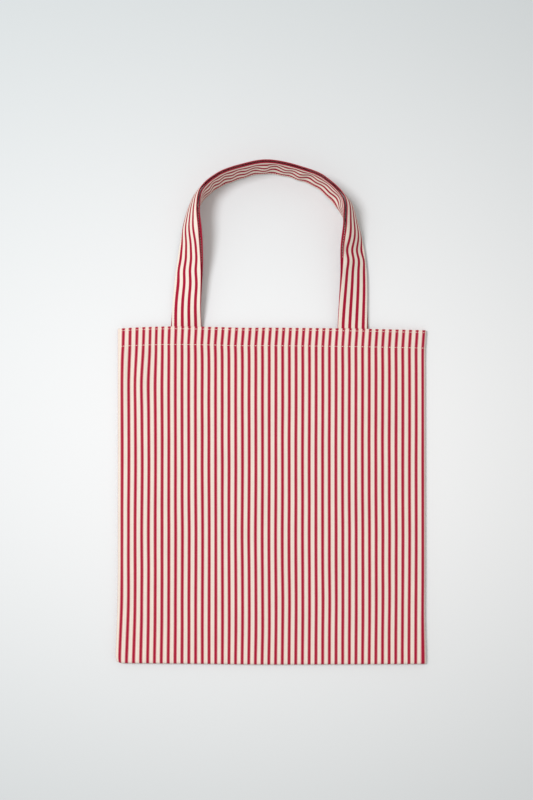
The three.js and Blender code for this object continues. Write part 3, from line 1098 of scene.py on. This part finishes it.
def canvas_material(name, stripe_stops):
    """Woven cotton canvas with ticking stripes, from the cloth's own coordinates."""
    material, nodes, links, shader = new_material(name)
    tree = material.node_tree
    cloth = cloth_coordinates(tree)
    split = nodes.new("ShaderNodeSeparateXYZ")
    links.new(cloth, split.inputs[0])
    across, along = split.outputs["X"], split.outputs["Y"]
    stripes = stripe_colour(tree, cloth, across, stripe_stops)

    streaks = noise_node(tree, scaled_vector(tree, cloth, STREAK_SCALE), 1.0, 3.0)
    slubs = noise_node(tree, scaled_vector(tree, cloth, SLUB_SCALE), 1.0)
    clouds = noise_node(tree, cloth, CLOUD_SCALE)
    weave = weave_height(tree, across, along)
    ribs = math_node(tree, "MULTIPLY", weave, weave)
    tone = math_node(tree, "MULTIPLY_ADD", streaks, 0.20, 0.90)
    for layer, share, base in ((slubs, 0.12, 0.94), (clouds, 0.08, 0.96), (ribs, 0.10, 0.93)):
        tone = math_node(tree, "MULTIPLY", tone, math_node(tree, "MULTIPLY_ADD", layer, share, base))
    colour = nodes.new("ShaderNodeVectorMath")
    colour.operation = "SCALE"
    links.new(stripes, colour.inputs[0])
    links.new(tone, colour.inputs["Scale"])
    links.new(colour.outputs[0], shader.inputs["Base Color"])

    height = math_node(tree, "MULTIPLY_ADD", weave, 0.5, 0.5)
    height = math_node(tree, "MULTIPLY_ADD", slubs, 0.8, height)
    add_relief(tree, height, 0.55, WEAVE_RELIEF * MM, shader)
    links.new(math_node(tree, "MULTIPLY_ADD", streaks, 0.12, 0.80), shader.inputs["Roughness"])
    sheen = {"Sheen Weight": 0.03, "Sheen Roughness": 0.5, "Sheen Tint": srgb(250, 240, 228)}
    set_inputs(shader, {"Specular IOR Level": 0.2, **sheen})
    return material


def thread_material():
    """Off-white sewing thread with the twist of its plies. Its colour is darker where the twist's relief is
    low: painted shade in the grooves between the plies.
    """
    material, nodes, links, shader = new_material("sewing_thread")
    tree = material.node_tree
    twist = nodes.new("ShaderNodeTexWave")
    twist.bands_direction = "DIAGONAL"
    twist.inputs["Scale"].default_value = 900.0
    links.new(cloth_coordinates(tree), twist.inputs["Vector"])
    # Painted shade: the twist that gives the relief also makes the colour darker in its grooves.
    ramp = nodes.new("ShaderNodeValToRGB")
    ramp.color_ramp.elements[0].color = srgb(228, 214, 200)
    ramp.color_ramp.elements[1].color = srgb(247, 238, 226)
    links.new(twist.outputs["Fac"], ramp.inputs["Fac"])
    links.new(ramp.outputs["Color"], shader.inputs["Base Color"])
    add_relief(tree, twist.outputs["Fac"], 0.5, THREAD_RELIEF * MM, shader)
    set_inputs(shader, {"Roughness": 0.6, "Sheen Weight": 0.2})
    return material


def floor_material():
    """Smooth pale paper, painted a little darker away from the middle: painted shade for the light falling
    off towards the edges.
    """
    material, nodes, links, shader = new_material("pale_paper")
    tree = material.node_tree
    place = nodes.new("ShaderNodeTexCoord")
    offset = nodes.new("ShaderNodeVectorMath")
    offset.operation = "ADD"
    offset.inputs[1].default_value = (-0.03, 0.05, 0.0)
    links.new(place.outputs["Object"], offset.inputs[0])
    length = nodes.new("ShaderNodeVectorMath")
    length.operation = "LENGTH"
    links.new(scaled_vector(tree, offset.outputs[0], (0.75, 1.0, 1.0)), length.inputs[0])
    # Painted shade: the ramp darkens the paper's colour away from the middle, where the light falls off.
    ramp = nodes.new("ShaderNodeValToRGB")
    ramp.color_ramp.interpolation = "B_SPLINE"
    middle, far = ramp.color_ramp.elements
    middle.position = 0.1
    middle.color = srgb(237, 238, 240)
    far.position = 0.62
    far.color = srgb(188, 195, 198)
    links.new(length.outputs["Value"], ramp.inputs["Fac"])
    links.new(ramp.outputs["Color"], shader.inputs["Base Color"])
    set_inputs(shader, {"Roughness": 0.9, "Specular IOR Level": 0.1})
    return material


# ---- the scene

# The camera, the light and the floor are placed in metres.
CAMERA_PLACE = (-0.0062, 0.0155, 1.3794)
KEY_DISTANCE = 2.4
KEY_ELEVATION = math.radians(60)
KEY_HEADING = math.radians(154)
KEY_SIZE = 0.84
KEY_POWER = 36.5
KEY_COLOUR = (0.985, 0.993, 1.0)
WORLD_STRENGTH = 0.66
FLOOR_HALF = 8.0
FLOOR_Z = -0.0001


def add_camera():
    """Straight above the bag, as a copy stand holds it."""
    data = bpy.data.cameras.new("camera")
    data.lens = 50
    data.sensor_width = 36
    camera = bpy.data.objects.new("camera", data)
    camera.location = CAMERA_PLACE
    bpy.context.scene.collection.objects.link(camera)
    bpy.context.scene.camera = camera


def add_light():
    """A large soft light from the left, and even light from all round."""
    data = bpy.data.lights.new("key", "AREA")
    data.shape = "DISK"
    data.size = KEY_SIZE
    data.energy = KEY_POWER
    data.color = KEY_COLOUR
    key = bpy.data.objects.new("key", data)
    level = KEY_DISTANCE * math.cos(KEY_ELEVATION)
    height = KEY_DISTANCE * math.sin(KEY_ELEVATION)
    key.rotation_euler = (0, math.pi / 2 - KEY_ELEVATION, KEY_HEADING)
    key.location = (level * math.cos(KEY_HEADING), level * math.sin(KEY_HEADING), height)
    key.visible_camera = False
    bpy.context.scene.collection.objects.link(key)
    world = bpy.data.worlds.new("world")
    world.use_nodes = True
    background = world.node_tree.nodes["Background"]
    set_inputs(background, {"Color": srgb(253, 249, 244), "Strength": WORLD_STRENGTH})
    bpy.context.scene.world = world


def add_floor():
    """A wide flat floor, just under the bag."""
    directions = ((-1, -1), (1, -1), (1, 1), (-1, 1))
    corners = [(x * FLOOR_HALF, y * FLOOR_HALF, 0) for x, y in directions]
    mesh = bpy.data.meshes.new("floor")
    mesh.from_pydata(corners, [], [[0, 1, 2, 3]])
    mesh.materials.append(floor_material())
    floor = bpy.data.objects.new("floor", mesh)
    floor.location = (0, 0, FLOOR_Z)
    bpy.context.scene.collection.objects.link(floor)


add_camera()
add_light()
add_floor()

canvas = canvas_material("ticking_canvas", BODY_STRIPES)
strap_canvas = canvas_material("strap_canvas", STRAP_STRIPES)
thread = thread_material()
for panel in ("back", "front"):
    for side in (-1, 1):
        make_cloth(panel, side, canvas)
        make_hem_stitches(panel, side, "upper", UPPER_ROW, thread)
        make_hem_stitches(panel, side, "lower", LOWER_ROW, thread)
    make_strap(panel, strap_canvas)
    make_edge_stitches(panel, "inner", 1, thread)
    make_edge_stitches(panel, "outer", -1, thread)
make_side_seam(-1, canvas, thread)
make_side_seam(1, canvas, thread)
make_bottom_seam(canvas, thread)

bpy.context.scene.view_settings.view_transform = "Standard"
